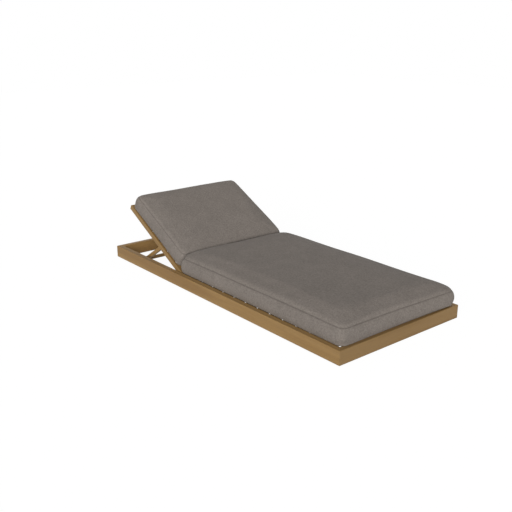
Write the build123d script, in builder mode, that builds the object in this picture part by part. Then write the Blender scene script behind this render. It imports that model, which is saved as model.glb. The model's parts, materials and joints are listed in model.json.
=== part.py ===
from build123d import *
from math import cos, radians, sin
import os

os.makedirs("parts", exist_ok=True)

# A low teak sun lounger with a raised backrest, a notched prop and two loose cushions.
# All sizes are in millimetres. X runs along the length with the foot end at +X, Y across, Z up.
# The origin lies on the ground, under the middle of the frame.

# Base frame
frame_length = 2000.0
frame_width = 860.0
rail_height = 73.0
rail_thickness = 35.0
rail_arris = 3.0
glide_height = 3.0
glide_diameter = 24.0
glide_spigot_diameter = 6.0
glide_spigot_length = 18.0
glide_end_setback = 120.0

# Loose tenons across the four mitres
spline_length = 30.0
spline_thickness = 8.0
spline_height = 46.0

# Slatted seat deck
deck_recess = 3.0
slat_width = 70.0
slat_thickness = 12.0
slat_arris = 2.0
slat_end_gap = 1.0
slat_pitch_aim = 97.5
ledger_width = 20.0
ledger_height = 26.0
bearer_width = 34.0
bearer_height = 30.0
bearer_tenon_length = 12.0
cross_rail_inset = 8.0
cross_rail_height = 40.0
cross_rail_tenon_length = 15.0
tenon_shoulder = 8.0

# Backrest, as it stands and as it lies flat
rest_angle = 28.56
back_length = 615.0
back_head_gap = 23.0
hinge_to_deck = 24.5
board_depth = 28.0
board_thickness = 24.0
board_rail_gap = 5.0
board_arris = 2.0
rebate_width = 12.0
bottom_rail_start = 30.0
back_rail_width = 45.0
back_slat_count = 5
dowel_diameter = 10.0
dowel_in_board = 16.0
dowel_in_rail = 24.0
dowel_spacing = 22.0

# Clearances: of moving faces, of glued or screwed joints, and of a pin in its bush
running_gap = 0.3
joint_gap = 0.1
bore_gap = 0.05

# Hinge hardware
hinge_bolt_diameter = 10.0
hinge_bush_wall = 2.5
hinge_washer_diameter = 22.0
hinge_insert_diameter = 15.0
hinge_insert_length = 24.0
washer_thickness = 1.5
bolt_head_height = 6.0
bolt_head_diameter = 18.0
bolt_socket_width = 6.0
bolt_socket_depth = 3.5

# Prop: two arms and a round bar. The arms are as long as the hinge is from their pivot,
# so the bar runs along a straight line through the hinge.
prop_reach = 252.8
prop_pivot_fall = 2.5
rack_fall = 3.5
arm_depth = 22.0
arm_thickness = 20.0
arm_arris = 2.0
arm_eye_wall = 6.0
arm_neck_radius = 20.0
bar_diameter = 22.0
bar_end_gap = 2.0
bar_pin_diameter = 4.0
bracket_thickness = 3.0
bracket_margin = 16.0
bracket_drop = 10.0
bracket_corner = 5.0
bracket_screw_distance = 17.0
bracket_collar_diameter = 15.0
bracket_collar_length = 2.0
stud_diameter = 9.0
prop_bush_wall = 2.0
nut_height = 8.0
nut_across_flats = 15.0
nut_bore_depth = 6.0

# Notched racks under the backrest
rack_thickness = 20.0
rack_ground_gap = 3.0
notch_pitch = 44.2
notch_depth = 6.5
notch_ramp_angle = 32.0
notches_above_rest = 2
notches_below_rest = 1
rack_toe = 30.0
rack_heel = 14.0
tip_gap = 0.4

# Blocks that carry the backrest when it lies flat
rest_block_length = 50.0
rest_block_height = 26.0
rest_block_setback = 12.0

# Countersunk screws
screw_diameter = 4.0
screw_head_diameter = 8.5
slat_screw_length = 24.0
rack_screw_length = 36.0
block_screw_length = 46.0
bracket_screw_length = 18.0
ledger_screw_distance = 10.0
screw_clearance = 3.0

# Cushions: a boxed side with a bulge, a sewn seam and a crowned top
cushion_gap = 0.3
cushion_boxing = 84.0
cushion_crown = 33.0
cushion_heel_low = 3.0
cushion_heel_high = 9.0
cushion_heel_draw = 1.5
cushion_heel_inset = 5.0
cushion_seam_inset = 8.0
cushion_side_pull = 6.0
cushion_corner_radius = 46.0
seam_width = 5.0
seam_depth = 1.6
seat_cushion_side_lap = 10.0
seat_cushion_foot_lap = 25.0
seat_cushion_head_overhang = 25.5
seat_cushion_foot_gap = 2.0
back_cushion_side_inset = 14.0
back_cushion_top_inset = 15.0
back_cushion_bottom_setback = 68.0
back_cushion_bottom_inset = 10.0
crown_inset_shares = (0.0, 0.01, 0.025, 0.05, 0.09, 0.15, 0.26, 0.45)
crown_height_shares = (0.0, 0.3, 0.55, 0.76, 0.88, 0.94, 0.985, 1.0)
bulge_height_share = 0.52

# One overrun serves all cuts
overrun = 5.0

# Heights and distances that the pieces share
rail_bottom_z = glide_height
rail_top_z = rail_bottom_z + rail_height
deck_z = rail_top_z - deck_recess
slat_bottom_z = deck_z - slat_thickness
inner_x = frame_length / 2 - rail_thickness
inner_y = frame_width / 2 - rail_thickness
rail_middle_x = (frame_length - rail_thickness) / 2
rail_middle_y = (frame_width - rail_thickness) / 2
hinge_x = -(inner_x - back_head_gap - back_length)
hinge_z = deck_z - board_depth / 2
deck_head_x = hinge_x + hinge_to_deck
deck_length = inner_x - deck_head_x
slat_count = round(deck_length / slat_pitch_aim)
slat_pitch = deck_length / slat_count
slat_gap = slat_pitch - slat_width
slat_centres = [inner_x - slat_gap - slat_width / 2 - n * slat_pitch for n in range(slat_count)]
cross_rail_width = slat_width - 2 * cross_rail_inset
cross_rail_x = slat_centres[-1]
cross_rail_z = slat_bottom_z - cross_rail_height / 2
ledger_head_x = cross_rail_x + cross_rail_width / 2
bearer_z = slat_bottom_z - bearer_height / 2
seat_screw_y = inner_y - ledger_screw_distance

# Distances of the backrest's and the prop's pieces from the middle plane
board_outer_y = inner_y - board_rail_gap
board_inner_y = board_outer_y - board_thickness
slat_rebate_y = board_inner_y + rebate_width
back_screw_y = board_inner_y + rebate_width / 2
bracket_inner_y = board_inner_y - bracket_thickness
arm_outer_y = bracket_inner_y - bracket_collar_length - running_gap
arm_inner_y = arm_outer_y - arm_thickness
arm_middle_y = (arm_outer_y + arm_inner_y) / 2
board_top_w = board_depth / 2
rebate_w = board_top_w - slat_thickness

# Radii
bar_radius = bar_diameter / 2
eye_radius = bar_radius + arm_eye_wall
hinge_bolt_radius = hinge_bolt_diameter / 2
hinge_bush_bore = hinge_bolt_radius + bore_gap
hinge_bush_radius = hinge_bush_bore + hinge_bush_wall
stud_radius = stud_diameter / 2
prop_bush_bore = stud_radius + bore_gap
prop_bush_radius = prop_bush_bore + prop_bush_wall
screw_radius = screw_diameter / 2
screw_head_radius = screw_head_diameter / 2
seat_radius = bar_radius + running_gap


def side_plane(angle, y, x=hinge_x, z=hinge_z):
    """A plane seen from the right side: its x axis points to the foot end and rises by an angle."""
    along = (cos(radians(angle)), 0, sin(radians(angle)))
    return Plane(origin=(x, y, z), x_dir=along, z_dir=(0, -1, 0))


def bar_distance(angle):
    """How far the bar lies from the hinge when the backrest stands at an angle."""
    return 2 * prop_reach * cos(radians(angle - prop_pivot_fall + rack_fall))


# The raised backrest's own frame: x runs down it towards the foot end, z is square to its slats
back = Plane(origin=(hinge_x, 0, hinge_z)).rotated((0, rest_angle, 0))
pivot_u = prop_reach * cos(radians(prop_pivot_fall))
pivot_w = -prop_reach * sin(radians(prop_pivot_fall))
pivot = back.from_local_coords(Vector(-pivot_u, 0, pivot_w))
prop_angle = rest_angle - prop_pivot_fall + 2 * rack_fall
bar_centre = side_plane(rack_fall, 0).from_local_coords(Vector(-bar_distance(rest_angle), 0, 0))
tip_rise = -(bar_radius + tip_gap)
notch_distances = [
    bar_distance(rest_angle) + n * notch_pitch
    for n in range(-notches_above_rest, notches_below_rest + 1)
]
rack_foot_distance = notch_distances[0] - rack_toe
rack_head_distance = bar_distance(0) + rack_heel

# The backrest's rails and slats, counted up the boards from the hinge
top_rail_start = back_length - back_rail_width
bottom_rail_end = bottom_rail_start + back_rail_width
back_slat_gap = (top_rail_start - bottom_rail_end - back_slat_count * slat_width) / (
    back_slat_count + 1
)
back_slat_centres = [
    bottom_rail_end + back_slat_gap + slat_width / 2 + n * (slat_width + back_slat_gap)
    for n in range(back_slat_count)
]
back_rail_centres = (bottom_rail_start + back_rail_width / 2, top_rail_start + back_rail_width / 2)
dowel_places = [(-u + s * dowel_spacing / 2, 0) for u in back_rail_centres for s in (-1, 1)]


def clear_of_slat_screws(u, direction):
    """Where a screw into a board's inner face goes: moved on if a slat's screw would cross it."""
    least = screw_diameter + screw_clearance
    nearest = min(back_slat_centres, key=lambda centre: abs(centre - u))
    return u if abs(nearest - u) > least else nearest + direction * least


bracket_screw_us = [clear_of_slat_screws(pivot_u + s * bracket_screw_distance, s) for s in (-1, 1)]
bracket_screw_places = [(-u, rebate_w - board_top_w / 2) for u in bracket_screw_us]
bracket_length = bracket_screw_us[1] - bracket_screw_us[0] + 2 * bracket_margin
bracket_middle_u = (bracket_screw_us[0] + bracket_screw_us[1]) / 2

def rack_height_at(x, z):
    """The height in the rack's sloping frame of a point at x in that frame and z above ground."""
    slope = radians(rack_fall)
    return (z - hinge_z - x * sin(slope)) / cos(slope)


rack_bottom_z = rail_bottom_z + rack_ground_gap
rack_screw_xs = (
    -rack_foot_distance - rack_toe / 3,
    -notch_distances[1] - notch_pitch / 3,
    -rack_head_distance + rack_heel / 2,
)
rack_screw_places = [(x, (rack_height_at(x, rack_bottom_z) + tip_rise) / 2) for x in rack_screw_xs]
rest_block_top_z = hinge_z - board_depth / 2 - running_gap
rest_block_x = -inner_x + rest_block_setback + rest_block_length / 2
rest_block_z = rest_block_top_z - rest_block_height / 2
rest_block_screw_places = [(rest_block_x + s * rest_block_length / 4, rest_block_z) for s in (-1, 1)]


def save(builder, name):
    """Label a finished piece and write it as a node of its own."""
    builder.part.label = name
    export_step(builder.part, f"parts/{name}.step")


def save_pair(builder, name):
    """Write a piece of the left side and its mirror image on the right side."""
    save(builder, f"{name}_left")
    with BuildPart() as twin:
        mirror(builder.part, about=Plane.XZ)
    save(twin, f"{name}_right")


def bores(plane, places, radius, depth):
    """Round holes from a plane into the piece behind it."""
    with BuildSketch(plane) as circles:
        with Locations(*places):
            Circle(radius)
    extrude(circles.sketch, amount=-depth, mode=Mode.SUBTRACT)


# Screws, each made once about its own axis with the top of its head at zero


def screw(length):
    """A countersunk wood screw that points down from the origin."""
    with BuildPart() as body:
        with BuildSketch(Plane.XZ):
            with BuildLine():
                Polyline(
                    (0, 0),
                    (screw_head_radius, 0),
                    (screw_radius, screw_radius - screw_head_radius),
                    (screw_radius, screw_radius - length),
                    (0, -length),
                    close=True,
                )
            make_face()
        revolve(axis=Axis.Z)
    return body.part


def save_screws(length, planes, name):
    """Write one node of equal screws, each standing in a plane with its head at that plane."""
    fitted = screw(length)
    with BuildPart() as group:
        add([plane.location * fitted for plane in planes])
    save(group, name)


def screw_holes(planes, through):
    """Countersunk holes for screws that stand in those planes."""
    for plane in planes:
        with Locations(plane.location):
            CounterSinkHole(screw_radius + joint_gap, screw_head_radius + joint_gap, through)


def pilot_holes(planes, passed, length):
    """Blind holes for the points of screws that first pass through another piece."""
    for plane in planes:
        with BuildSketch(plane.offset(-passed)) as circle:
            Circle(screw_radius + joint_gap)
        extrude(circle.sketch, amount=-(length - passed + joint_gap), mode=Mode.SUBTRACT)


def deck_planes(centres, sides=(1, -1)):
    """Where the screws of the seat slats stand."""
    return [Plane(origin=(x, s * seat_screw_y, deck_z)) for x in centres for s in sides]


def back_planes(centres, sides=(1, -1)):
    """Where the screws of the back slats stand."""
    return [
        Plane(
            origin=back.from_local_coords(Vector(-u, s * back_screw_y, board_top_w)),
            x_dir=back.x_dir,
            z_dir=back.z_dir,
        )
        for u in centres
        for s in sides
    ]


def facing_in(plane, places):
    """Planes of screws that are driven outwards from a plane on the left side."""
    return [
        Plane(origin=plane.from_local_coords(Vector(x, h, 0)), x_dir=plane.x_dir, z_dir=plane.z_dir)
        for x, h in places
    ]


def both_sides(planes):
    """The same planes and their mirror images on the right side."""
    return planes + [
        Plane(
            origin=(plane.origin.X, -plane.origin.Y, plane.origin.Z),
            x_dir=plane.x_dir,
            z_dir=-plane.z_dir,
        )
        for plane in planes
    ]


rack_screws = facing_in(side_plane(rack_fall, inner_y - rack_thickness), rack_screw_places)
block_screws = facing_in(Plane.XZ.offset(-board_inner_y), rest_block_screw_places)
bracket_screws = facing_in(side_plane(-rest_angle, bracket_inner_y), bracket_screw_places)

# Mitred rails with loose tenons across the corners


def corner_boxes(length, mode):
    """A box square to each of the four mitres, at its middle."""
    with BuildSketch(Plane.XY.offset((rail_bottom_z + rail_top_z - spline_height) / 2)) as boxes:
        for sx in (1, -1):
            for sy in (1, -1):
                with Locations(Location((sx * rail_middle_x, sy * rail_middle_y), -45 * sx * sy)):
                    Rectangle(length, spline_thickness)
    extrude(boxes.sketch, amount=spline_height, mode=mode)


with BuildPart() as corner_splines:
    corner_boxes(spline_length, Mode.ADD)
save(corner_splines, "corner_splines")


def cross_rail_tenon(plane, length, mode):
    """The stub tenon of the cross rail, or its mortise, out of a plane at the rail's face."""
    with BuildSketch(plane) as tenon:
        with Locations((cross_rail_x, cross_rail_z)):
            Rectangle(cross_rail_width - 2 * tenon_shoulder, cross_rail_height - 2 * tenon_shoulder)
    extrude(tenon.sketch, amount=length, mode=mode)


def bearer_tenon(plane, length, mode):
    """The stub tenon of the centre bearer, or its mortise."""
    with BuildSketch(plane) as tenon:
        with Locations((0, bearer_z)):
            Rectangle(bearer_width - 2 * tenon_shoulder, bearer_height - 2 * tenon_shoulder)
    extrude(tenon.sketch, amount=length, mode=mode)


with BuildPart() as side_rail:
    with BuildSketch(Plane.XY.offset(rail_bottom_z)):
        with BuildLine():
            Polyline(
                (-frame_length / 2, frame_width / 2),
                (frame_length / 2, frame_width / 2),
                (inner_x, inner_y),
                (-inner_x, inner_y),
                close=True,
            )
        make_face()
    extrude(amount=rail_height)
    fillet(side_rail.edges().filter_by(Axis.X), rail_arris)
    corner_boxes(spline_length + 2 * joint_gap, Mode.SUBTRACT)
    inner_face = Plane.XZ.offset(-inner_y)
    cross_rail_tenon(inner_face, -cross_rail_tenon_length - joint_gap, Mode.SUBTRACT)
    bores(
        inner_face,
        [(hinge_x, hinge_z)],
        hinge_insert_diameter / 2 + joint_gap,
        hinge_insert_length + joint_gap,
    )
    pilot_holes(rack_screws, rack_thickness, rack_screw_length)
    pilot_holes(block_screws, inner_y - board_inner_y, block_screw_length)
    glide_places = [(s * (frame_length / 2 - glide_end_setback), rail_middle_y) for s in (-1, 0, 1)]
    bores(
        Plane.XY.offset(rail_bottom_z),
        glide_places,
        glide_spigot_diameter / 2 + joint_gap,
        -glide_spigot_length - joint_gap,
    )
save_pair(side_rail, "side_rail")


def end_rail(sign):
    """The head or the foot rail, mitred at both ends."""
    with BuildPart() as rail:
        with BuildSketch(Plane.XY.offset(rail_bottom_z)):
            with BuildLine():
                Polyline(
                    (sign * frame_length / 2, frame_width / 2),
                    (sign * frame_length / 2, -frame_width / 2),
                    (sign * inner_x, -inner_y),
                    (sign * inner_x, inner_y),
                    close=True,
                )
            make_face()
        extrude(amount=rail_height)
        fillet(rail.edges().filter_by(Axis.Y), rail_arris)
        corner_boxes(spline_length + 2 * joint_gap, Mode.SUBTRACT)
        if sign > 0:
            bearer_tenon(Plane.YZ.offset(inner_x), bearer_tenon_length + joint_gap, Mode.SUBTRACT)
    return rail


save(end_rail(-1), "head_rail")
save(end_rail(1), "foot_rail")

with BuildPart() as glides:
    with BuildSketch(Plane.XY):
        with GridLocations(frame_length / 2 - glide_end_setback, 2 * rail_middle_y, 3, 2):
            Circle(glide_diameter / 2)
    extrude(amount=glide_height)
    chamfer(glides.edges().group_by(Axis.Z)[0], glide_height / 3)
    with BuildSketch(Plane.XY.offset(glide_height)):
        with GridLocations(frame_length / 2 - glide_end_setback, 2 * rail_middle_y, 3, 2):
            Circle(glide_spigot_diameter / 2)
    extrude(amount=glide_spigot_length)
save(glides, "glides")

# Seat deck: cross rail, centre bearer, ledgers and slats

with BuildPart() as cross_rail:
    with BuildSketch(Plane.XY.offset(slat_bottom_z - cross_rail_height)):
        with Locations((cross_rail_x, 0)):
            Rectangle(cross_rail_width, 2 * inner_y)
    extrude(amount=cross_rail_height)
    cross_rail_tenon(Plane.XZ.offset(inner_y), cross_rail_tenon_length, Mode.ADD)
    cross_rail_tenon(Plane.XZ.offset(-inner_y), -cross_rail_tenon_length, Mode.ADD)
    pilot_holes(deck_planes(slat_centres[-1:]), slat_thickness, slat_screw_length)
    bearer_tenon(Plane.YZ.offset(ledger_head_x), -bearer_tenon_length - joint_gap, Mode.SUBTRACT)
save(cross_rail, "hinge_cross_rail")

with BuildPart() as centre_bearer:
    with BuildSketch(Plane.YZ.offset(ledger_head_x)):
        with Locations((0, bearer_z)):
            Rectangle(bearer_width, bearer_height)
    extrude(amount=inner_x - ledger_head_x)
    bearer_tenon(Plane.YZ.offset(ledger_head_x), -bearer_tenon_length, Mode.ADD)
    bearer_tenon(Plane.YZ.offset(inner_x), bearer_tenon_length, Mode.ADD)
save(centre_bearer, "centre_bearer")

with BuildPart() as ledger:
    with BuildSketch(Plane.XY.offset(slat_bottom_z - ledger_height)):
        with Locations(((ledger_head_x + inner_x) / 2, inner_y - ledger_width / 2)):
            Rectangle(inner_x - ledger_head_x, ledger_width)
    extrude(amount=ledger_height)
    lower_inner_edge = ledger.edges().filter_by(Axis.X).group_by(Axis.Y)[0].sort_by(Axis.Z)[0]
    chamfer(lower_inner_edge, ledger_width / 4)
    pilot_holes(deck_planes(slat_centres[:-1], (1,)), slat_thickness, slat_screw_length)
save_pair(ledger, "slat_ledger")

for number, centre in enumerate(slat_centres, start=1):
    with BuildPart() as seat_slat:
        with BuildSketch(Plane.XY.offset(slat_bottom_z)):
            with Locations((centre, 0)):
                Rectangle(slat_width, 2 * (inner_y - slat_end_gap))
        extrude(amount=slat_thickness)
        fillet(seat_slat.edges().filter_by(Axis.Y).group_by(Axis.Z)[-1], slat_arris)
        screw_holes(deck_planes([centre]), slat_thickness)
    save(seat_slat, f"seat_slat_{number:02d}")
save_screws(slat_screw_length, deck_planes(slat_centres), "seat_slat_screws")

# Racks: each notch has a round seat and a ramp on its foot side

seat_rise = tip_rise - notch_depth + seat_radius
ramp = radians(notch_ramp_angle)
ramp_foot = (seat_radius * sin(ramp), -seat_radius * cos(ramp))
ramp_run = (seat_radius * cos(ramp) - seat_radius + notch_depth + overrun) / sin(ramp)
ramp_head = (ramp_foot[0] + ramp_run * cos(ramp), ramp_foot[1] + ramp_run * sin(ramp))

with BuildPart() as rack:
    with BuildSketch(side_plane(rack_fall, inner_y)):
        with BuildLine():
            Polyline(
                (-rack_foot_distance, tip_rise),
                (-rack_head_distance, tip_rise),
                (-rack_head_distance, rack_height_at(-rack_head_distance, rack_bottom_z)),
                (-rack_foot_distance, rack_height_at(-rack_foot_distance, rack_bottom_z)),
                close=True,
            )
        make_face()
        for distance in notch_distances:
            with Locations((-distance, seat_rise)):
                Circle(seat_radius, mode=Mode.SUBTRACT)
                Polygon((0, 0), ramp_foot, ramp_head, align=None, mode=Mode.SUBTRACT)
    extrude(amount=rack_thickness)
    screw_holes(rack_screws, rack_thickness)
save_pair(rack, "rack")
save_screws(rack_screw_length, both_sides(rack_screws), "rack_screws")

with BuildPart() as rest_block:
    with BuildSketch(Plane.XZ.offset(-inner_y)):
        with Locations((rest_block_x, rest_block_z)):
            Rectangle(rest_block_length, rest_block_height)
    extrude(amount=inner_y - board_inner_y)
    chamfer(rest_block.edges().group_by(Axis.Y)[0].group_by(Axis.Z)[0], rail_arris)
    screw_holes(block_screws, inner_y - board_inner_y)
save_pair(rest_block, "rest_block")
save_screws(block_screw_length, both_sides(block_screws), "rest_block_screws")

# Hinge hardware: a bolt from inside each board into a threaded insert in its rail


def rings(outer, inner, y, length):
    """A ring about the hinge axis on each side, from a distance off the middle outwards."""
    with BuildSketch(Plane.XZ.offset(-y)) as ring:
        with Locations((hinge_x, hinge_z)):
            Circle(outer)
            if inner:
                Circle(inner, mode=Mode.SUBTRACT)
    extrude(ring.sketch, amount=-length)


washer_outer_y = board_inner_y - running_gap
head_outer_y = washer_outer_y - washer_thickness
hinge_clear_bore = hinge_bolt_radius + joint_gap

with BuildPart() as hinge_inserts:
    rings(hinge_insert_diameter / 2, hinge_clear_bore, inner_y, hinge_insert_length)
    mirror(about=Plane.XZ)
save(hinge_inserts, "hinge_inserts")

with BuildPart() as hinge_spacers:
    spacer_length = board_rail_gap - running_gap
    rings(hinge_washer_diameter / 2, hinge_clear_bore, inner_y - spacer_length, spacer_length)
    mirror(about=Plane.XZ)
save(hinge_spacers, "hinge_spacers")

with BuildPart() as hinge_washers:
    rings(hinge_washer_diameter / 2, hinge_clear_bore, head_outer_y, washer_thickness)
    mirror(about=Plane.XZ)
save(hinge_washers, "hinge_washers")

with BuildPart() as hinge_bolts:
    bolt_length = inner_y + hinge_insert_length - bolt_head_height - head_outer_y
    rings(hinge_bolt_radius, 0, head_outer_y, bolt_length)
    rings(bolt_head_diameter / 2, 0, head_outer_y - bolt_head_height, bolt_head_height)
    fillet(hinge_bolts.edges().group_by(Axis.Y)[0], bolt_head_height / 3)
    with BuildSketch(Plane.XZ.offset(bolt_head_height - head_outer_y)):
        with Locations((hinge_x, hinge_z)):
            RegularPolygon(bolt_socket_width / 2, 6, major_radius=False)
    extrude(amount=-bolt_socket_depth, mode=Mode.SUBTRACT)
    mirror(about=Plane.XZ)
save(hinge_bolts, "hinge_bolts")

with BuildPart() as hinge_bushes:
    rings(hinge_bush_radius, hinge_bush_bore, board_inner_y, board_thickness)
    mirror(about=Plane.XZ)
save(hinge_bushes, "hinge_bushes")

# Backrest: two boards, a rail at each end and slats let into the boards

with BuildPart() as board:
    with BuildSketch(side_plane(-rest_angle, board_outer_y)):
        with BuildLine():
            Line((0, board_top_w), (-back_length, board_top_w))
            Line((-back_length, board_top_w), (-back_length, -board_top_w))
            Line((-back_length, -board_top_w), (0, -board_top_w))
            ThreePointArc((0, -board_top_w), (board_top_w, 0), (0, board_top_w))
        make_face()
    extrude(amount=board_thickness)
    chamfer(board.faces().sort_by(Axis.Y)[-1].edges(), board_arris)
    with BuildSketch(side_plane(-rest_angle, slat_rebate_y)):
        with Locations((-(bottom_rail_end + top_rail_start) / 2, board_top_w)):
            Rectangle(top_rail_start - bottom_rail_end, 2 * slat_thickness)
    extrude(amount=rebate_width + overrun, mode=Mode.SUBTRACT)
    inside = side_plane(-rest_angle, board_inner_y)
    bores(inside, [(0, 0)], hinge_bush_radius + joint_gap, board_thickness + overrun)
    bores(inside, dowel_places, dowel_diameter / 2 + joint_gap, dowel_in_board + joint_gap)
    pilot_holes(bracket_screws, bracket_thickness, bracket_screw_length)
    pilot_holes(back_planes(back_slat_centres, (1,)), slat_thickness, slat_screw_length)
save_pair(board, "back_board")

for name, centre in zip(("back_bottom_rail", "back_top_rail"), back_rail_centres):
    with BuildPart() as back_rail:
        with BuildSketch(back.offset(-board_top_w)):
            with Locations((-centre, 0)):
                Rectangle(back_rail_width, 2 * board_inner_y)
        extrude(amount=board_depth)
        for side in (-1, 1):
            end = side_plane(-rest_angle, side * board_inner_y)
            places = [(-centre + s * dowel_spacing / 2, 0) for s in (-1, 1)]
            bores(end, places, dowel_diameter / 2 + joint_gap, -side * (dowel_in_rail + joint_gap))
    save(back_rail, name)

with BuildPart() as back_dowels:
    with BuildSketch(side_plane(-rest_angle, board_inner_y + dowel_in_board)):
        with Locations(*dowel_places):
            Circle(dowel_diameter / 2)
    extrude(amount=dowel_in_board + dowel_in_rail)
    mirror(about=Plane.XZ)
save(back_dowels, "back_dowels")

for number, centre in enumerate(back_slat_centres, start=1):
    with BuildPart() as back_slat:
        with BuildSketch(back.offset(rebate_w)):
            with Locations((-centre, 0)):
                Rectangle(slat_width, 2 * (slat_rebate_y - slat_end_gap))
        extrude(amount=slat_thickness)
        top_edges = back_slat.faces().sort_by(Axis(back.origin, back.z_dir))[-1].edges()
        fillet(top_edges.filter_by(Axis.Y), slat_arris)
        screw_holes(back_planes([centre]), slat_thickness)
    save(back_slat, f"back_slat_{number}")
save_screws(slat_screw_length, back_planes(back_slat_centres), "back_slat_screws")

# Prop: steel brackets with studs on the boards, teak arms and a teak bar

with BuildPart() as bracket:
    with BuildSketch(side_plane(-rest_angle, board_inner_y)):
        with Locations((-bracket_middle_u, (rebate_w - joint_gap - board_top_w - bracket_drop) / 2)):
            RectangleRounded(
                bracket_length, rebate_w - joint_gap + board_top_w + bracket_drop, bracket_corner
            )
    extrude(amount=bracket_thickness)
    with BuildSketch(side_plane(-rest_angle, bracket_inner_y)):
        with Locations((-pivot_u, pivot_w)):
            Circle(bracket_collar_diameter / 2)
    extrude(amount=bracket_collar_length)
    with BuildSketch(side_plane(-rest_angle, bracket_inner_y)):
        with Locations((-pivot_u, pivot_w)):
            Circle(stud_radius)
    extrude(amount=bracket_inner_y - arm_inner_y + running_gap + nut_bore_depth - joint_gap)
    screw_holes(bracket_screws, bracket_thickness)
save_pair(bracket, "prop_bracket")
save_screws(bracket_screw_length, both_sides(bracket_screws), "prop_bracket_screws")

with BuildPart() as prop_nuts:
    nut_plane = side_plane(-rest_angle, arm_inner_y - running_gap)
    with BuildSketch(nut_plane):
        with Locations((-pivot_u, pivot_w)):
            RegularPolygon(nut_across_flats / 2, 6, major_radius=False)
    extrude(amount=nut_height)
    chamfer(prop_nuts.faces().sort_by(Axis.Y)[0].edges(), nut_height / 8)
    bores(nut_plane, [(-pivot_u, pivot_w)], stud_radius + joint_gap, -nut_bore_depth)
    mirror(about=Plane.XZ)
save(prop_nuts, "prop_nuts")


def prop_plane(y):
    """A side plane with its origin on the prop's pivot: the bar lies at the arm's length at -x."""
    return side_plane(prop_angle, y, pivot.X, pivot.Z)


with BuildPart() as prop_arm:
    with BuildSketch(prop_plane(arm_outer_y)) as arm_outline:
        with Locations((-prop_reach / 2, 0)):
            SlotCenterToCenter(prop_reach, arm_depth)
        with Locations((-prop_reach, 0)):
            Circle(eye_radius)
        necks = arm_outline.vertices().filter_by(lambda v: abs(v.X + prop_reach) < 2 * eye_radius)
        fillet(necks, arm_neck_radius)
    extrude(amount=arm_thickness)
    chamfer(prop_arm.faces().sort_by(Axis.Y)[0].edges(), arm_arris)
    chamfer(prop_arm.faces().sort_by(Axis.Y)[-1].edges(), arm_arris)
    bores(prop_plane(arm_outer_y), [(0, 0)], prop_bush_radius + joint_gap, -arm_thickness)
    bores(prop_plane(arm_outer_y), [(-prop_reach, 0)], bar_radius + joint_gap, -arm_thickness)
    pin_plane = Plane(
        origin=(bar_centre.X, arm_middle_y, bar_centre.Z), x_dir=(0, 1, 0), z_dir=prop_plane(0).y_dir
    )
    bores(pin_plane.offset(-2 * eye_radius), [(0, 0)], bar_pin_diameter / 2 + joint_gap, -4 * eye_radius)
save_pair(prop_arm, "prop_arm")

with BuildPart() as prop_bushes:
    with BuildSketch(prop_plane(arm_outer_y)):
        Circle(prop_bush_radius)
        Circle(prop_bush_bore, mode=Mode.SUBTRACT)
    extrude(amount=arm_thickness)
    mirror(about=Plane.XZ)
save(prop_bushes, "prop_bushes")

with BuildPart() as bar_pins:
    with BuildSketch(pin_plane.offset(-eye_radius + arm_arris)):
        Circle(bar_pin_diameter / 2)
    extrude(amount=2 * (eye_radius - arm_arris))
    mirror(about=Plane.XZ)
save(bar_pins, "bar_pins")

with BuildPart() as prop_bar:
    with BuildSketch(Plane.XZ):
        with Locations((bar_centre.X, bar_centre.Z)):
            Circle(bar_radius)
    extrude(amount=inner_y - bar_end_gap, both=True)
    chamfer(prop_bar.edges(), bar_end_gap / 2)
    bores(pin_plane.offset(-2 * eye_radius), [(0, 0)], bar_pin_diameter / 2 + joint_gap, -4 * eye_radius)
    twin_plane = Plane(
        origin=(bar_centre.X, -arm_middle_y, bar_centre.Z), x_dir=(0, 1, 0), z_dir=pin_plane.z_dir
    )
    bores(twin_plane.offset(-2 * eye_radius), [(0, 0)], bar_pin_diameter / 2 + joint_gap, -4 * eye_radius)
save(prop_bar, "prop_bar")

# Cushions, lofted from their underside to the crown


def cushion_outline(plane, length, width, inset):
    """The plan of a cushion at one height: sides pulled in between rounded corners."""
    x = length / 2 - inset
    y = width / 2 - inset
    r = cushion_corner_radius + inset / 3
    d = r * (1 - cos(radians(45)))
    with BuildSketch(plane) as outline:
        with BuildLine():
            ThreePointArc((x - r, y), (0, y - cushion_side_pull), (r - x, y))
            ThreePointArc((r - x, y), (d - x, y - d), (-x, y - r))
            ThreePointArc((-x, y - r), (cushion_side_pull - x, 0), (-x, r - y))
            ThreePointArc((-x, r - y), (d - x, d - y), (r - x, -y))
            ThreePointArc((r - x, -y), (0, cushion_side_pull - y), (x - r, -y))
            ThreePointArc((x - r, -y), (x - d, d - y), (x, r - y))
            ThreePointArc((x, r - y), (x - cushion_side_pull, 0), (x, y - r))
            ThreePointArc((x, y - r), (x - d, y - d), (x - r, y))
        make_face()
    return outline


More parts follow.
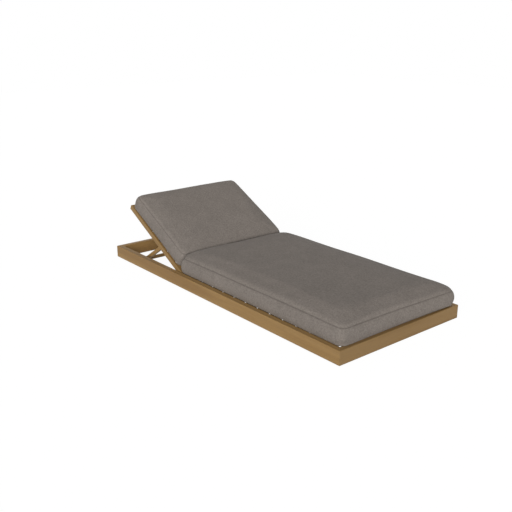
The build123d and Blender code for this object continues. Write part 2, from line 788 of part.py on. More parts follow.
def cushion(plane, length, width, bottom_inset):
    """A cushion that stands on a plane: rounded heel, bulged side, sewn seam, then a crown."""
    seam_low = cushion_boxing - seam_width / 2
    seam_high = cushion_boxing + seam_width / 2
    groove = cushion_seam_inset + seam_depth
    half_side = min(length, width) / 2
    heel = [
        (0, bottom_inset),
        (cushion_heel_low, bottom_inset - cushion_heel_draw),
        (cushion_heel_high, cushion_heel_inset),
    ]
    side = [
        (cushion_heel_high, cushion_heel_inset),
        (cushion_boxing * bulge_height_share, 0),
        (seam_low, cushion_seam_inset),
    ]
    crown = [
        (seam_high + h * (cushion_crown - seam_width / 2), cushion_seam_inset + i * half_side)
        for h, i in zip(crown_height_shares, crown_inset_shares)
    ]
    with BuildPart() as body:
        loft(
            [cushion_outline(plane.offset(h), length, width, i).sketch for h, i in heel],
            ruled=True,
        )
        loft([cushion_outline(plane.offset(h), length, width, i).sketch for h, i in side])
        for low, high in (
            ((seam_low, cushion_seam_inset), (cushion_boxing, groove)),
            ((cushion_boxing, groove), (seam_high, cushion_seam_inset)),
        ):
            loft(
                [cushion_outline(plane.offset(h), length, width, i).sketch for h, i in (low, high)],
                ruled=True,
            )
        loft(
            [cushion_outline(plane.offset(h), length, width, i).sketch for h, i in crown],
            ruled=True,
        )
    return body


seat_head_x = deck_head_x - seat_cushion_head_overhang
seat_foot_x = inner_x + seat_cushion_foot_lap
save(
    cushion(
        Plane(origin=((seat_head_x + seat_foot_x) / 2, 0, deck_z + cushion_gap)),
        seat_foot_x - seat_head_x,
        2 * (inner_y + seat_cushion_side_lap),
        seat_cushion_foot_lap + seat_cushion_foot_gap,
    ),
    "seat_cushion",
)

back_cushion_top_u = back_length - back_cushion_top_inset
back_cushion_plane = Plane(
    origin=back.from_local_coords(
        Vector(-(back_cushion_bottom_setback + back_cushion_top_u) / 2, 0, board_top_w + cushion_gap)
    ),
    x_dir=back.x_dir,
    z_dir=back.z_dir,
)
save(
    cushion(
        back_cushion_plane,
        back_cushion_top_u - back_cushion_bottom_setback,
        2 * (board_outer_y - back_cushion_side_inset),
        back_cushion_bottom_inset,
    ),
    "back_cushion",
)
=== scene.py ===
import json
from math import atan2, pi, radians

import bpy
import numpy as np
from mathutils import Matrix, Vector


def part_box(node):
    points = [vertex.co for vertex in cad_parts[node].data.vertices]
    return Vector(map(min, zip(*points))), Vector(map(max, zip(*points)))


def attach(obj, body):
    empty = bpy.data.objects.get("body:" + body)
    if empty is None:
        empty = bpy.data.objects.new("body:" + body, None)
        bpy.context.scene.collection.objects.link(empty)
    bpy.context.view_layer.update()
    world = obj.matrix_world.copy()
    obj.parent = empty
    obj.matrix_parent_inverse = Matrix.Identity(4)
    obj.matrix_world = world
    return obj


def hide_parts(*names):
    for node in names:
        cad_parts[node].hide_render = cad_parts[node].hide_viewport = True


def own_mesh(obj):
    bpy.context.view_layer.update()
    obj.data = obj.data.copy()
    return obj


# Dresses the sun lounger's CAD frame: oiled teak, steel and nylon fittings, and two padded cushions.
# Lengths are in metres in the frame's own axes. The lounger's colours are written as they look, from
# 0 to 255, and the stage's as the linear values that shaders take.

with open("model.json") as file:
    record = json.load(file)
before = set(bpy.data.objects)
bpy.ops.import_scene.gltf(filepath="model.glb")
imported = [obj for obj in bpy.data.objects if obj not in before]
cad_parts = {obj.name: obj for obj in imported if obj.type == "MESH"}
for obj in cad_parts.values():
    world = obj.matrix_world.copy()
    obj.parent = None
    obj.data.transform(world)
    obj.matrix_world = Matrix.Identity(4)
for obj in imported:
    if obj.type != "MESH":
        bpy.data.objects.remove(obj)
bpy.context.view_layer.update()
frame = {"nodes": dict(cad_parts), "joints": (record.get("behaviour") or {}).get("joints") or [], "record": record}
nodes = frame["nodes"]
joints = {joint["name"]: joint for joint in frame["joints"]}

# How the backrest and the prop slope at rest
rest_angle = -radians(joints["backrest_hinge"]["range_deg"][0])
prop_point = Vector(joints["prop_pivot"]["pos_m"])
bar_low, bar_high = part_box("prop_bar")
bar_point = (bar_low + bar_high) / 2
prop_angle = atan2(prop_point.z - bar_point.z, prop_point.x - bar_point.x)

# Camera, solved from the frame's corners in the photograph
camera_place = Vector((2.98520, -2.52959, 1.46919))
camera_target = Vector((-0.431615, 0.262881, 0.006075))
camera_lens = 50.47

# Stage: a broad, low key light from a little left of the camera, an even surround and a pale floor
key_direction = Vector((0.62, -0.70, 0.340))
key_strength = 2.68
key_spread = radians(50)
surround_level = 0.29
white = (1, 1, 1, 1)
floor_grey = (0.8, 0.8, 0.8, 1)
floor_roughness = 0.9
floor_half = 12.0
floor_glow = 1.06
floor_shade = 0.12  # the share of the floor's shadow that the camera sees

# The spacing of both cushions' points, how far their sides pull in between the corners, how fast a
# corner's radius grows with a ring's inset, and how often their grids are relaxed
cell = 0.012
side_pull = 0.0025
corner_growth = 1 / 3
relax_rounds = 40

# Rings of both cushions, as heights and insets: a rounded heel above the lower seam, whose insets each
# cushion takes a share of, and the wall that rises from it to the upper seam
heel_rows = (
    (0.0046, 0.0140),
    (0.0062, 0.0118),
    (0.0085, 0.0098),
    (0.0115, 0.0076),
    (0.0155, 0.0054),
    (0.0205, 0.0034),
    (0.0270, 0.0018),
    (0.0350, 0.0007),
)
wall_rows = (
    (0.0450, 0.0),
    (0.0550, 0.0004),
    (0.0650, 0.0016),
    (0.0735, 0.0036),
    (0.0800, 0.0062),
    (0.0840, 0.0085),
    (0.0860, 0.0100),
)
seam_height, seam_inset = wall_rows[-1]

# The crown's rings beside the upper seam, and how soon its shoulder rises from that seam
crown_insets = (0.0104, 0.0114, 0.0136, 0.0170, 0.0225)
shoulder_reach = 0.0045

# Swelling: its most, how short the sides start, how much the crown is held beside its seam, how far
# that hold reaches, and the cloth simulation's settings
swell = 0.006
start_short = 0.0015
crown_hold = 0.85
crown_hold_reach = 0.035
pressure = 4.0
cloth_quality = 5
cloth_mass = 0.3
cloth_frames = 20
least_move = 1e-9

# How far the seams and the rows beside them are drawn in, and the share of a seam's mark in those rows, which sets
# how much of the seams' painted shade they get
seam_groove = 0.0018
beside_groove = 0.0004
beside_seam = 0.3

# Waves of the foam along and across: how high, how fast they run, and how far and how fast they bend
wave_along = (0.0011, 9.1, 4.0, 3.3)
wave_across = (0.0009, 11.7, 2.6, 5.2)

# How a cushion lies: the heights over which its skew sets in, the power that keeps its bellies to its
# sides and foot, and the powers that keep the push near its far foot corner
skew_heights = (0.003, 0.013)
belly_power = 9
push_power_along = 6
push_power_across = 3

# Each cushion's own shape: how far it grows past its CAD solid at its head, foot and each side, the
# radius of its corners, the rings of its underside from the level part to the lower seam, as heights
# and insets, and its share of the heel's insets. Its crown is a height above the seam, then how full
# it is at once and how far it goes on filling, from the head, foot, near and far sides. Its lie is
# what the function laid does to it.
seat_shape = {
    "growth": (0.0, 0.0, 0.0),
    "radius": 0.036,
    "underside": ((0.0, 0.0290), (0.0024, 0.0262), (0.0031, 0.0155), (0.0037, 0.0080)),
    "heel_share": 0.52,
    "crown": (0.039, ((0.655, 0.26), (0.41, 0.12), (0.41, 0.105), (0.50, 0.30))),
    "lie": {
        "skew": 0.010,
        "push": 0.003,
        "belly": 0.005,
        "aside": -0.001,
        "lean": 0.0125,
        "swing": -0.003,
        "flare": 0.0,
    },
}
back_shape = {
    "growth": (0.005, 0.027, 0.006),
    "radius": 0.022,
    "underside": ((0.0, 0.0065), (0.0006, 0.0046), (0.0015, 0.0036), (0.0030, 0.0030)),
    "heel_share": 0.20,
    "crown": (0.025, ((0.63, 0.15), (0.58, 0.15), (0.54, 0.15), (0.59, 0.15))),
    "lie": {
        "skew": 0.0,
        "push": 0.0,
        "belly": 0.0,
        "aside": 0.0,
        "lean": 0.0,
        "swing": 0.0060,
        "flare": 0.008,
    },
}


def srgb(red, green, blue):
    """A colour as it looks, in the linear values that shaders take."""
    return [((c / 255 + 0.055) / 1.055) ** 2.4 for c in (red, green, blue)] + [1.0]


def tinted(colour, tone):
    """A colour made lighter or darker as it looks."""
    return srgb(*(c * tone for c in colour))


class Tree:
    """The node tree of a material or of the world, and short ways to add nodes to it."""

    def __init__(self, owner):
        owner.use_nodes = True
        self.owner = owner
        self.nodes = owner.node_tree.nodes

    def fill(self, node, inputs):
        """Sets a node's inputs, each to a value or by a link from another node's output."""
        for key, value in inputs.items():
            if isinstance(value, bpy.types.NodeSocket):
                self.owner.node_tree.links.new(value, node.inputs[key])
            else:
                node.inputs[key].default_value = value

    def add(self, kind, inputs, output=0, **settings):
        """Adds a node and gives one of its outputs."""
        node = self.nodes.new(kind)
        for key, value in settings.items():
            setattr(node, key, value)
        self.fill(node, inputs)
        return node.outputs[output]

    def surface(self, **inputs):
        """Sets the inputs of a material's own shader."""
        named = {key.replace("_", " "): value for key, value in inputs.items()}
        self.fill(self.nodes["Principled BSDF"], named)

    def math(self, operation, a, b=0.0, c=0.0):
        return self.add("ShaderNodeMath", {0: a, 1: b, 2: c}, operation=operation)

    def turned(self, vector, rotation, location=(0, 0, 0)):
        inputs = {"Vector": vector, "Rotation": rotation, "Location": location}
        return self.add("ShaderNodeMapping", inputs)

    def place(self, rotation=(0, 0, 0), location=(0, 0, 0)):
        """The object's own coordinates, turned and shifted."""
        return self.turned(self.add("ShaderNodeTexCoord", {}, "Object"), rotation, location)

    def stretched(self, vector, scale):
        return self.add("ShaderNodeMapping", {"Vector": vector, "Scale": scale})

    def separate(self, vector):
        return tuple(self.add("ShaderNodeSeparateXYZ", {0: vector}).node.outputs)

    def noise(self, vector, scale, detail, roughness=0.5):
        inputs = {"Vector": vector, "Scale": scale, "Detail": detail, "Roughness": roughness}
        return self.add("ShaderNodeTexNoise", inputs)

    def ramp(self, factor, stops):
        node = self.nodes.new("ShaderNodeValToRGB")
        self.fill(node, {0: factor})
        elements = node.color_ramp.elements
        while len(elements) < len(stops):
            elements.new(1.0)
        for element, (position, colour) in zip(elements, stops):
            element.position = position
            element.color = colour
        return node.outputs[0]

    def mix(self, factor, a, b, blend="MIX"):
        inputs = {0: factor, 6: a, 7: b}
        return self.add("ShaderNodeMix", inputs, 2, data_type="RGBA", blend_type=blend)

    def choose(self, test, yes, no):
        """One number where a test is 1, and another where it is 0."""
        return self.add("ShaderNodeMix", {0: test, 2: no, 3: yes}, data_type="FLOAT")

    def between(self, value, span, results):
        """Results that change evenly while a value crosses a span."""
        inputs = {0: value, 1: span[0], 2: span[1], 3: results[0], 4: results[1]}
        return self.add("ShaderNodeMapRange", inputs)

    def bump(self, height, strength, distance):
        inputs = {"Height": height, "Strength": strength, "Distance": distance}
        return self.add("ShaderNodeBump", inputs)


# The span that most of a noise's values lie in
noise_span = (0.3, 0.7)

# Teak, with its grain along each piece and its own tone from piece to piece

grain_turns = {
    "along": (0, 0, 0),
    "across": (0, 0, pi / 2),
    "back": (0, -rest_angle, 0),
    "prop": (0, prop_angle, 0),
}
grain_of = {
    "side_rail": "along",
    "slat_ledger": "along",
    "centre_bearer": "along",
    "rack": "along",
    "rest_block": "along",
    "corner_splines": "along",
    "back_board": "back",
    "prop_arm": "prop",
}
teak_stops = ((0.15, (133, 102, 59)), (0.4, (142, 111, 66)), (0.65, (149, 118, 73)))
teak_tones = (0.0, -0.03, 0.03, -0.01, 0.04, 0.02, -0.04)
# Pieces whose tone, or where their figure starts, is chosen to look like the photograph's: the head rail and the
# prop's arms and bar are made lighter as painted light where they stand in shade, and the foot rail is made darker
chosen_tones_and_painted_light = {
    "head_rail": 0.09,
    "foot_rail": -0.07,
    "prop_arm_left": 0.08,
    "prop_arm_right": 0.08,
    "prop_bar": 0.08,
}
chosen_starts = {"side_rail_right": 0.35, "foot_rail": 0.35}
# How far the figure shifts from one piece to the next, and how much finer each layer of it is across
# the grain than along it
figure_shift = (0.37, 0.11, 0.05)
drift_stretch = (1.1, 5, 5)
ring_stretch = (0.35, 7, 7)
fibre_stretch = (9, 420, 420)
pore_stretch = (22, 900, 900)
ring_share = 0.5
drift_share = 0.3
fibre_relief = 0.6
fibre_shades = (0.88, 1.06)
pore_span = (0.66, 0.74)
pore_share = 0.5
pore_colour = (84, 60, 34)
roughness_span = (0.25, 0.75)
teak_roughness = (0.50, 0.68)


def teak(name, number):
    """The wood of one piece, whose number shifts its figure and picks its tone, save for listed pieces whose tone
    is set, some of them lighter as painted light.
    """
    tree = Tree(bpy.data.materials.new(f"teak_{name}"))
    grain = next((g for start, g in grain_of.items() if name.startswith(start)), "across")
    # Listed pieces take a set tone; the head rail's and the prop's are lighter as painted light against their
    # shade
    tone = 1 + chosen_tones_and_painted_light.get(name, teak_tones[number % len(teak_tones)])
    shift = [step * number for step in figure_shift]
    shift[0] = chosen_starts.get(name, shift[0])
    wood = tree.place(grain_turns[grain], shift)
    drift = tree.noise(tree.stretched(wood, drift_stretch), scale=1.6, detail=3.0)
    rings = tree.add(
        "ShaderNodeTexWave",
        {
            "Vector": tree.stretched(wood, ring_stretch),
            "Scale": 1.7,
            "Distortion": 6.5,
            "Detail": 3.0,
            "Detail Scale": 1.2,
        },
        output="Fac",
        bands_direction="Y",
    )
    fibres = tree.noise(tree.stretched(wood, fibre_stretch), scale=1.0, detail=3.0, roughness=0.6)
    pores = tree.noise(tree.stretched(wood, pore_stretch), scale=1.0, detail=1.0)
    figure = tree.math("MULTIPLY_ADD", rings, ring_share, tree.math("MULTIPLY", drift, drift_share))
    base = tree.ramp(figure, [(position, tinted(colour, tone)) for position, colour in teak_stops])
    shaded = tree.mix(1.0, base, tree.between(fibres, noise_span, fibre_shades), "MULTIPLY")
    pore_mask = tree.between(pores, pore_span, (0.0, pore_share))
    relief = tree.math("SUBTRACT", tree.math("MULTIPLY", fibres, fibre_relief), pore_mask)
    tree.surface(
        Base_Color=tree.mix(pore_mask, shaded, srgb(*pore_colour)),
        Roughness=tree.between(fibres, roughness_span, teak_roughness),
        Specular_IOR_Level=0.35,
        Normal=tree.bump(relief, strength=0.25, distance=0.0004),
    )
    return tree.owner


# Metal and nylon fittings

brush_stretch = (60, 900, 900)
brush_smoothest = -0.08
brush_roughest = 0.12
stain_span = (0.4, 0.7)
stain_share = 0.35
stain_tone = 0.82
nylon_dark = (38, 37, 36)
nylon_light = (58, 56, 54)
nylon_roughness = (0.42, 0.6)


def metal(name, colour, roughness):
    """Metal brushed along the lounger, with faint stains."""
    tree = Tree(bpy.data.materials.new(name))
    point = tree.place()
    brushing = tree.noise(tree.stretched(point, brush_stretch), scale=1.0, detail=3.0)
    stains = tree.between(tree.noise(point, scale=35.0, detail=4.0), stain_span, (0.0, stain_share))
    roughnesses = (roughness + brush_smoothest, roughness + brush_roughest)
    tree.surface(
        Base_Color=tree.mix(stains, srgb(*colour), tinted(colour, stain_tone)),
        Metallic=1.0,
        Roughness=tree.between(brushing, noise_span, roughnesses),
        Normal=tree.bump(brushing, strength=0.12, distance=0.0002),
    )
    return tree.owner


def nylon():
    """Dark moulded nylon with a fine grain."""
    tree = Tree(bpy.data.materials.new("nylon"))
    grain = tree.noise(tree.place(), scale=900.0, detail=2.0)
    tree.surface(
        Base_Color=tree.mix(grain, srgb(*nylon_dark), srgb(*nylon_light)),
        Roughness=tree.between(grain, noise_span, nylon_roughness),
        Normal=tree.bump(grain, strength=0.2, distance=0.0002),
    )
    return tree.owner


# Heathered weave for the cushions

yarn_pitch = 0.0024
yarn_stops = ((0.33, (107, 100, 93)), (0.5, (127, 119, 112)), (0.68, (143, 135, 128)))
warp_stretch = (400, 30, 1)
weft_stretch = (30, 400, 1)
yarn_share = 0.5
heather_share = 0.5
blotch_shades = (0.94, 1.05)
yarn_relief = 1.5
yarn_roughness = (0.82, 0.95)
# Painted shade of the seams' grooves: how dark it is, and how much of it a seam takes
painted_seam_shade = (74, 68, 62)
painted_seam_shade_share = 0.6
# How much a normal points up or down on a face that counts as a top or an underside, and how far the
# yarns of the ends are from those of the sides in the noise
top_facing = 0.45
end_shift = 3.0


def weave(name, turn):
    """A plain weave that lies flat on each of the cushion's faces, in the cushion's own axes, darkened along its
    seams by painted shade of their grooves.
    """
    tree = Tree(bpy.data.materials.new(name))
    x, y, z = tree.separate(tree.place((0, -turn, 0)))
    normal = tree.turned(tree.add("ShaderNodeTexCoord", {}, "Normal"), (0, -turn, 0))
    facing_x, facing_y, facing_z = (tree.math("ABSOLUTE", n) for n in tree.separate(normal))
    is_top = tree.math("GREATER_THAN", facing_z, top_facing)
    is_end = tree.math("GREATER_THAN", facing_x, facing_y)
    across = tree.choose(is_top, x, tree.choose(is_end, y, x))
    upward = tree.choose(is_top, y, z)
    warp_wave = tree.math("SINE", tree.math("MULTIPLY", across, pi / yarn_pitch))
    weft_wave = tree.math("SINE", tree.math("MULTIPLY", upward, pi / yarn_pitch))
    weave_height = tree.math("MULTIPLY", warp_wave, weft_wave)
    layer = tree.math("MULTIPLY", is_end, end_shift)
    plane = tree.add("ShaderNodeCombineXYZ", {0: across, 1: upward, 2: layer})
    warp = tree.noise(tree.stretched(plane, warp_stretch), scale=1.0, detail=2.0, roughness=0.6)
    weft = tree.noise(tree.stretched(plane, weft_stretch), scale=1.0, detail=2.0, roughness=0.6)
    yarn = tree.choose(tree.math("GREATER_THAN", weave_height, 0.0), warp, weft)
    heather = tree.noise(tree.place(), scale=130.0, detail=3.0, roughness=0.6)
    blotches = tree.noise(tree.place(), scale=9.0, detail=3.0, roughness=0.55)
    heathered = tree.math("MULTIPLY", heather, heather_share)
    tone = tree.math("ADD", tree.math("MULTIPLY", yarn, yarn_share), heathered)
    base = tree.ramp(tone, [(position, srgb(*colour)) for position, colour in yarn_stops])
    mottled = tree.mix(1.0, base, tree.between(blotches, noise_span, blotch_shades), "MULTIPLY")
    # The seam mark darkens the colour with painted shade along the seams' grooves
    seam = tree.add("ShaderNodeAttribute", {}, "Fac", attribute_name="seam")
    relief = tree.math("ADD", weave_height, tree.math("MULTIPLY", yarn, yarn_relief))
    tree.surface(
        Base_Color=tree.mix(tree.math("MULTIPLY", seam, painted_seam_shade_share), mottled, srgb(*painted_seam_shade)),
        Roughness=tree.between(yarn, noise_span, yarn_roughness),
        Specular_IOR_Level=0.2,
        Sheen_Weight=0.05,
        Sheen_Roughness=0.5,
        Normal=tree.bump(relief, strength=0.35, distance=0.0004),
    )
    return tree.owner


# Padded cushions


def outline(half_x, half_y, radius, counts):
    """Points round a cushion's plan, whose sides pull in between rounded corners.
    Each side runs from the middle of one corner to the middle of the next."""
    corner_middle = 1.25 * pi
    corner_start = 1.5 * pi
    half_bend = radius * pi / 4
    points = []
    for side in range(4):
        half_along, half_off = (half_x, half_y) if side % 2 == 0 else (half_y, half_x)
        straight = 2 * (half_along - radius)
        walked = np.linspace(0, straight + 2 * half_bend, counts[side % 2], endpoint=False)
        share = np.clip((walked - half_bend) / straight, 0, 1)
        along = (radius - half_along) + share * straight
        off = side_pull * (4 * share * (1 - share)) ** 2 - half_off
        leaving = np.clip(walked, 0, half_bend) / radius + corner_middle
        arriving = np.clip(walked - half_bend - straight, 0, half_bend) / radius + corner_start
        first = walked < half_bend
        last = walked > half_bend + straight
        for bend, end, turn in ((first, -1, leaving), (last, 1, arriving)):
            along = np.where(bend, end * (half_along - radius) + radius * np.cos(turn), along)
            off = np.where(bend, radius - half_off + radius * np.sin(turn), off)
        for _ in range(side):
            along, off = -off, along
        points.append(np.stack([along, off], 1))
    return np.concatenate(points)


def grid_in(ring, counts):
    """The points of a relaxed grid inside a ring, whose edge is that ring."""
    columns, rows = counts
    closed = np.concatenate([ring, ring[:1]])
    low = closed[: columns + 1]
    right = closed[columns : columns + rows + 1]
    high = closed[columns + rows : 2 * columns + rows + 1][::-1]
    left = closed[2 * columns + rows :][::-1]
    s = np.linspace(0, 1, columns + 1)[:, None, None]
    t = np.linspace(0, 1, rows + 1)[None, :, None]
    corners = (
        (1 - s) * (1 - t) * low[0] + s * (1 - t) * low[-1] + s * t * high[-1] + (1 - s) * t * high[0]
    )
    grid = (
        (1 - t) * low[:, None] + t * high[:, None] + (1 - s) * left[None] + s * right[None] - corners
    )
    for _ in range(relax_rounds):
        grid[1:-1, 1:-1] = (grid[:-2, 1:-1] + grid[2:, 1:-1] + grid[1:-1, :-2] + grid[1:-1, 2:]) / 4
    return grid.reshape(-1, 2)


def grid_numbers(counts):
    """The numbers of a grid's points, by column and row."""
    columns, rows = counts
    return np.arange((columns + 1) * (rows + 1)).reshape(columns + 1, rows + 1)


def grid_edge(counts):
    """The numbers of a grid's edge points, in a ring's order."""
    numbers = grid_numbers(counts)
    return np.concatenate([numbers[:-1, 0], numbers[-1, :-1], numbers[:0:-1, -1], numbers[0, :0:-1]])


def crown_rise(points, half, crown, from_seam):
    """How high a crown stands above its seam at points of its plan."""
    height, edges = crown
    x, y = points.T
    rise = height * (1 - np.exp(-from_seam / shoulder_reach))
    for distance, (at_once, reach) in zip((half[0] + x, half[0] - x, half[1] + y, half[1] - y), edges):
        unfilled = 1 - np.clip((distance - seam_inset) / reach, 0, 1)
        rise = rise * (at_once + (1 - at_once) * (1 - unfilled**2))
    return rise


class Shell:
    """A cushion's closed shell as it is built up on z = 0, with how far each point is on a seam, and
    how much of it is held while it swells."""

    def __init__(self, length, width, radius):
        self.half = (length / 2, width / 2)
        self.radius = radius
        self.counts = (round(length / cell), round(width / cell))
        self.points = []
        self.seam = []
        self.held = []
        self.rings = []

    def plan(self, inset):
        """The outline at an inset."""
        radius = self.radius + inset * corner_growth
        return outline(self.half[0] - inset, self.half[1] - inset, radius, self.counts)

    def add(self, points, z, on_seam, hold):
        """Adds points and gives the number of the first one."""
        start = sum(len(p) for p in self.points)
        self.points.append(np.column_stack([points, np.broadcast_to(z, len(points))]))
        self.seam.append(np.broadcast_to(on_seam, len(points)))
        self.held.append(np.broadcast_to(hold, len(points)))
        return start

    def add_ring(self, ring, z, on_seam, hold):
        self.rings.append(self.add(ring, z, on_seam, hold) + np.arange(len(ring)))

    def add_grid(self, grid, z, hold):
        """Adds a grid that closes the shell, and gives the number of its first point."""
        start = self.add(grid, z, 0.0, hold)
        self.rings.append(start + grid_edge(self.counts))
        return start

    def add_underside(self, rows):
        """Adds a level grid, then rings that turn up to the lower seam."""
        z, inset = rows[0]
        start = self.add_grid(grid_in(self.plan(inset), self.counts), z, 1.0)
        for z, inset in rows[1:]:
            self.add_ring(self.plan(inset), z, 0.0, 1.0)
        return start

    def add_boxing(self, heel_share):
        """Adds the sides from the lower seam to the upper one, short of where they swell to."""
        rows = [(z, heel_share * inset) for z, inset in heel_rows] + list(wall_rows)
        last = len(rows) - 1
        for k, (z, inset) in enumerate(rows):
            hold = 1.0 if k in (0, last) else 0.0
            on_seam = beside_seam if k in (1, last - 1) else hold
            short = start_short * np.sin(pi * k / last)
            self.add_ring(self.plan(inset + short), z, on_seam, hold)

    def add_crown(self, crown):
        """Adds rings beside the upper seam, then a grid that rises to the middle."""
        for k, inset in enumerate(crown_insets[:-1]):
            ring = self.plan(inset)
            z = seam_height + crown_rise(ring, self.half, crown, inset - seam_inset)
            self.add_ring(ring, z, beside_seam if k == 0 else 0.0, crown_hold)
        inset = crown_insets[-1]
        grid = grid_in(self.plan(inset), self.counts)
        shares = [np.linspace(0, 1, count + 1) for count in self.counts]
        inward = [2 * (h - inset) * np.minimum(s, 1 - s) for h, s in zip(self.half, shares)]
        nearest = np.minimum(inward[0][:, None], inward[1][None, :]).ravel()
        z = seam_height + crown_rise(grid, self.half, crown, nearest + inset - seam_inset)
        return self.add_grid(grid, z, crown_hold * np.exp(-nearest / crown_hold_reach))

    def faces(self, bottom, top):
        """Quads from each ring to the next, and over the two grids."""
        faces = []
        for low, high in zip(self.rings, self.rings[1:]):
            faces += zip(low, np.roll(low, -1), np.roll(high, -1), high)
        numbers = grid_numbers(self.counts)
        for i in range(self.counts[0]):
            for j in range(self.counts[1]):
                loop = (numbers[i, j], numbers[i + 1, j], numbers[i + 1, j + 1], numbers[i, j + 1])
                faces.append([top + k for k in loop])
                faces.append([bottom + k for k in reversed(loop)])
        return [[int(k) for k in face] for face in faces]


def cushion_mesh(name, length, width, shape):
    """A boxed cushion that stands on z = 0: its mesh, and for each point how far it is on a seam,
    and how much of it is held while it swells."""
    shell = Shell(length, width, shape["radius"])
    bottom = shell.add_underside(shape["underside"])
    shell.add_boxing(shape["heel_share"])
    top = shell.add_crown(shape["crown"])
    mesh = bpy.data.meshes.new(name)
    mesh.from_pydata(np.concatenate(shell.points).tolist(), [], shell.faces(bottom, top))
    mesh.polygons.foreach_set("use_smooth", [True] * len(mesh.polygons))
    return mesh, np.concatenate(shell.seam), np.concatenate(shell.held)


def coordinates(mesh):
    values = np.zeros(len(mesh.vertices) * 3, np.float32)
    mesh.vertices.foreach_get("co", values)
    return values.reshape(-1, 3)


def set_coordinates(mesh, values):
    mesh.vertices.foreach_set("co", np.asarray(values, np.float32).ravel())
    mesh.update()


def inflate(piece, held):
    """Swells a cushion's panels between their held seams with simulated cloth."""
    before = coordinates(piece.data)
    group = piece.vertex_groups.new(name="held")
    group.add([int(k) for k in np.flatnonzero(held == 1.0)], 1.0, "REPLACE")
    cloth = piece.modifiers.new("swell", "CLOTH")
    cloth.settings.quality = cloth_quality
    cloth.settings.mass = cloth_mass
    cloth.settings.use_pressure = True
    cloth.settings.uniform_pressure_force = pressure
    cloth.settings.effector_weights.gravity = 0
    cloth.settings.vertex_group_mass = group.name
    cloth.collision_settings.use_collision = False
    cloth.point_cache.frame_start = 1
    cloth.point_cache.frame_end = cloth_frames
    scene = bpy.context.scene
    for number in range(1, cloth_frames + 1):
        scene.frame_set(number)
    shown = piece.evaluated_get(bpy.context.evaluated_depsgraph_get())
    moved = coordinates(shown.data) - before
    piece.modifiers.remove(cloth)
    piece.vertex_groups.remove(group)
    scene.frame_set(1)
    distance = np.maximum(np.linalg.norm(moved, axis=1, keepdims=True), least_move)
    allowed = (1 - held[:, None]) * swell * np.tanh(distance / swell)
    set_coordinates(piece.data, before + moved * allowed / distance)


def wave(forward, sideways, height, rate, bend, bend_rate):
    """A wave that runs forward and bends from side to side."""
    return height * np.sin(rate * forward + bend * np.sin(bend_rate * sideways))


def soften(piece, height):
    """Gives foam's slight unevenness to the crown, and lays the underside flat."""
    points = coordinates(piece.data)
    x, y, z = points.T
    lift = np.clip((z - 0.5 * height) / (0.5 * height), 0, 1)
    waves = wave(x, y, *wave_along) + wave(y, x, *wave_across)
    points[:, 2] = np.maximum(z - lift * waves, 0.0)
    set_coordinates(piece.data, points)


def sink_seams(piece, seam):
    """Draws the seams in, so that each lies in a groove, and marks them for the weave, which darkens them with
    painted shade.
    """
    mesh = piece.data
    points = coordinates(mesh)
    normals = np.array([v.normal for v in mesh.vertices])
    depth = np.where(seam == 1.0, seam_groove, np.where(seam > 0, beside_groove, 0.0))
    set_coordinates(mesh, points - normals * depth[:, None])
    mark = mesh.attributes.new("seam", "FLOAT", "POINT")
    mark.data.foreach_set("value", seam.astype(np.float32))


def laid(points, half, lie):
    """Skews the foot end and pushes its far corner out, bellies the sides and the foot, leans the
    walls and flares, swings and shifts the whole, as a loose cushion lies."""
    along = points[:, 0] / half[0]
    across = points[:, 1] / half[1]
    foot_share = np.clip(along, 0, 1)
    far_share = np.clip(across, 0, 1)
    start, full = skew_heights
    above = np.clip((points[:, 2] - start) / (full - start), 0, 1)
    up_the_wall = np.clip(points[:, 2] / seam_height, 0, 1)
    skew = lie["skew"] * across * foot_share
    push = lie["push"] * foot_share**push_power_along * far_share**push_power_across
    belly = lie["belly"] * np.sin(pi * up_the_wall)
    points[:, 0] += above * (skew + push)
    points[:, 0] += belly * foot_share**belly_power
    points[:, 1] += belly * across**belly_power
    flare = lie["flare"] * along * points[:, 1]
    points[:, 1] += flare + lie["swing"] * along + lie["aside"] + lie["lean"] * up_the_wall
    return points


def new_object(name, data):
    """An object in the scene that holds some data, such as a mesh."""
    made = bpy.data.objects.new(name, data)
    bpy.context.scene.collection.objects.link(made)
    return made


def cushion(node, body, turn, shape, material):
    """A padded cushion in place of a CAD node, built in axes turned about Y as that node is."""
    axes = Matrix.Rotation(turn, 3, "Y")
    inside = coordinates(nodes[node].data) @ np.array(axes)
    head_growth, foot_growth, side_growth = shape["growth"]
    low = inside.min(0) - (head_growth, side_growth, 0)
    high = inside.max(0) + (foot_growth, side_growth, 0)
    length, width, height = high - low
    mesh, seam, held = cushion_mesh(node, length, width, shape)
    set_coordinates(mesh, laid(coordinates(mesh), (length / 2, width / 2), shape["lie"]))
    piece = new_object(f"{node}_cover", mesh)
    inflate(piece, held)
    soften(piece, height)
    sink_seams(piece, seam)
    smooth = piece.modifiers.new("smooth", "SUBSURF")
    smooth.levels = 1
    smooth.render_levels = 1
    middle = (low + high) / 2
    origin = axes @ Vector((middle[0], middle[1], low[2]))
    mesh.transform(Matrix.Translation(origin) @ axes.to_4x4())
    mesh.materials.append(material)
    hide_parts(node)
    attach(piece, body)
    return piece


# Materials of the CAD nodes that stay in view

fittings = {
    "stainless_steel": metal("brushed_steel", colour=(178, 178, 176), roughness=0.36),
    "brass": metal("brass", colour=(176, 146, 88), roughness=0.34),
    "nylon": nylon(),
}
slots = {part["node"]: part["material_slot"] for part in frame["record"]["subparts"]}
for number, (name, node) in enumerate(sorted(nodes.items())):
    if slots[name] == "cushion_fabric":
        continue
    material = teak(name, number) if slots[name] == "teak" else fittings[slots[name]]
    node.data.materials.clear()
    node.data.materials.append(material)

# The cushions

cushion("seat_cushion", "frame", 0.0, seat_shape, weave("seat_weave", 0.0))
back_weave = weave("back_weave", rest_angle)
back_cushion = cushion("back_cushion", "backrest", rest_angle, back_shape, back_weave)
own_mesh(back_cushion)


# Stage: floor, surround, key light and camera


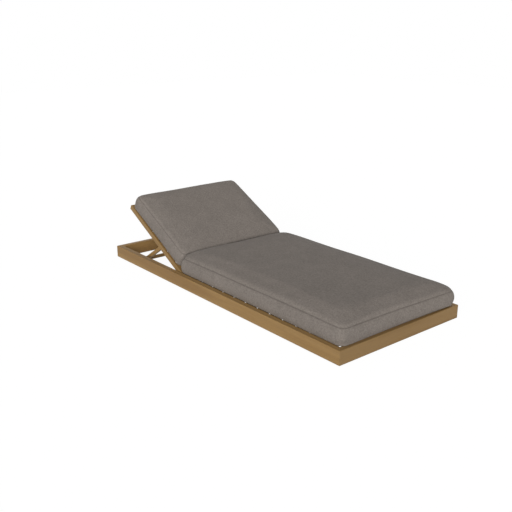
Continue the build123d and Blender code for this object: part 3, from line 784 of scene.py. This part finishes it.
def shows_backdrop(tree):
    """1 for the rays that show what is behind the object: the camera's, mirrored and let through."""
    path = tree.add("ShaderNodeLightPath", {}).node
    shown = path.outputs["Is Camera Ray"]
    for ray in ("Is Glossy Ray", "Is Transmission Ray"):
        shown = tree.math("MAXIMUM", shown, path.outputs[ray])
    return shown


def stage_floor():
    """A pale floor that looks white to the camera and keeps a faint shadow."""
    tree = Tree(bpy.data.materials.new("floor"))
    tree.surface(Base_Color=floor_grey, Roughness=floor_roughness, Specular_IOR_Level=0.0)
    glow = tree.add("ShaderNodeEmission", {"Color": white, "Strength": floor_glow})
    shaded = tree.add("ShaderNodeBsdfDiffuse", {"Color": white})
    seen = tree.add("ShaderNodeMixShader", {0: floor_shade, 1: glow, 2: shaded})
    own = tree.nodes["Principled BSDF"].outputs[0]
    shown = tree.add("ShaderNodeMixShader", {0: shows_backdrop(tree), 1: own, 2: seen})
    tree.fill(tree.nodes["Material Output"], {0: shown})
    mesh = bpy.data.meshes.new("floor")
    corners = [(x * floor_half, y * floor_half, 0) for x, y in ((-1, -1), (1, -1), (1, 1), (-1, 1))]
    mesh.from_pydata(corners, [], [(0, 1, 2, 3)])
    mesh.materials.append(tree.owner)
    floor = new_object("floor", mesh)


def surround():
    """An even surround that lights the object softly and looks white to the camera."""
    tree = Tree(bpy.data.worlds.new("surround"))
    light = tree.nodes["Background"]
    tree.fill(light, {"Color": white, "Strength": surround_level})
    plain = tree.add("ShaderNodeBackground", {"Color": white})
    inputs = {0: shows_backdrop(tree), 1: light.outputs[0], 2: plain}
    shown = tree.add("ShaderNodeMixShader", inputs)
    tree.fill(tree.nodes["World Output"], {0: shown})
    bpy.context.scene.world = tree.owner


def key_light():
    lamp = bpy.data.lights.new("key", "SUN")
    lamp.energy = key_strength
    lamp.angle = key_spread
    light = new_object("key", lamp)
    light.rotation_euler = (-key_direction).to_track_quat("-Z", "Y").to_euler()


def camera():
    lens = bpy.data.cameras.new("camera")
    lens.lens = camera_lens
    seen_from = new_object("camera", lens)
    seen_from.location = camera_place
    seen_from.rotation_euler = (camera_target - camera_place).to_track_quat("-Z", "Y").to_euler()
    bpy.context.scene.camera = seen_from


stage_floor()
surround()
key_light()
camera()
bpy.context.scene.view_settings.view_transform = "Standard"
